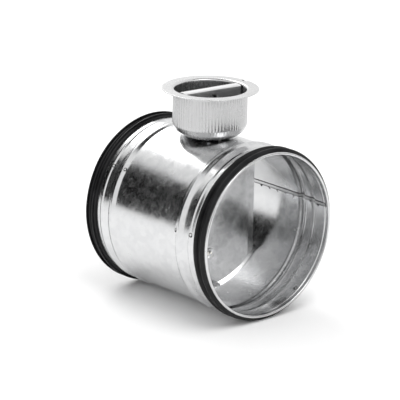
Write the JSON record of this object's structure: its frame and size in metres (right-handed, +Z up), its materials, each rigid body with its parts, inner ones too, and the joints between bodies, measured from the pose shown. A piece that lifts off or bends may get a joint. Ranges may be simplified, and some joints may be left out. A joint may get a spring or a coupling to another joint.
{
  "type": "volume control damper",
  "caption": "Circular volume control damper with a pivoting blade, rubber lip seals and a fluted setting cup with a handle",
  "frame": {"origin": "Where the duct axis meets the spindle axis, in the middle of the casing", "axes": "+X along the duct towards the front spigot, +Z up the spindle through the cup, +Y to the left when looking along +X"},
  "size_m": [0.133, 0.1292, 0.1614],
  "materials": {
    "galvanised_steel": "galvanised sheet with a soft spangle",
    "satin_galvanised": "drawn galvanised sheet, satin",
    "zinc_plated_steel": "bright zinc plate",
    "black_rubber": "satin black EPDM",
    "black_plastic": "moulded, matt"
  },
  "bodies": {
    "casing": {"duct_casing": "galvanised_steel", "front_seal": "black_rubber", "rear_seal": "black_rubber", "upper_bush": "black_plastic", "pivot_pin": "zinc_plated_steel", "setting_cup": "satin_galvanised", "saddle_seal": "black_rubber", "cup_rivets": "zinc_plated_steel"},
    "blade": {"damper_blade": "galvanised_steel", "upper_bracket": "galvanised_steel", "lower_bracket": "galvanised_steel", "blade_rivets": "zinc_plated_steel", "spindle": "zinc_plated_steel", "pivot_bush": "black_plastic", "friction_washer": "black_plastic", "dial_plate": "satin_galvanised", "setting_handle": "satin_galvanised", "handle_rivets": "zinc_plated_steel", "spring_washer": "zinc_plated_steel", "spindle_nut": "zinc_plated_steel"},
    "lock_left": {"lock_screw_left": "zinc_plated_steel"},
    "lock_right": {"lock_screw_right": "zinc_plated_steel"}
  },
  "joints": [
    {"name": "blade_turn", "type": "hinge", "parent": "casing", "child": "blade", "pos_m": [0, 0, 0], "axis": [0, 0, -1], "range_deg": [-6, 84]},
    {"name": "lock_left_turn", "type": "hinge", "parent": "casing", "child": "lock_left", "pos_m": [0.01167, -0.01167, 0.0687], "axis": [0, 0, 1], "range_deg": [0, 180]},
    {"name": "lock_right_turn", "type": "hinge", "parent": "casing", "child": "lock_right", "pos_m": [-0.01167, 0.01167, 0.0687], "axis": [0, 0, 1], "range_deg": [0, 180]}
  ]
}
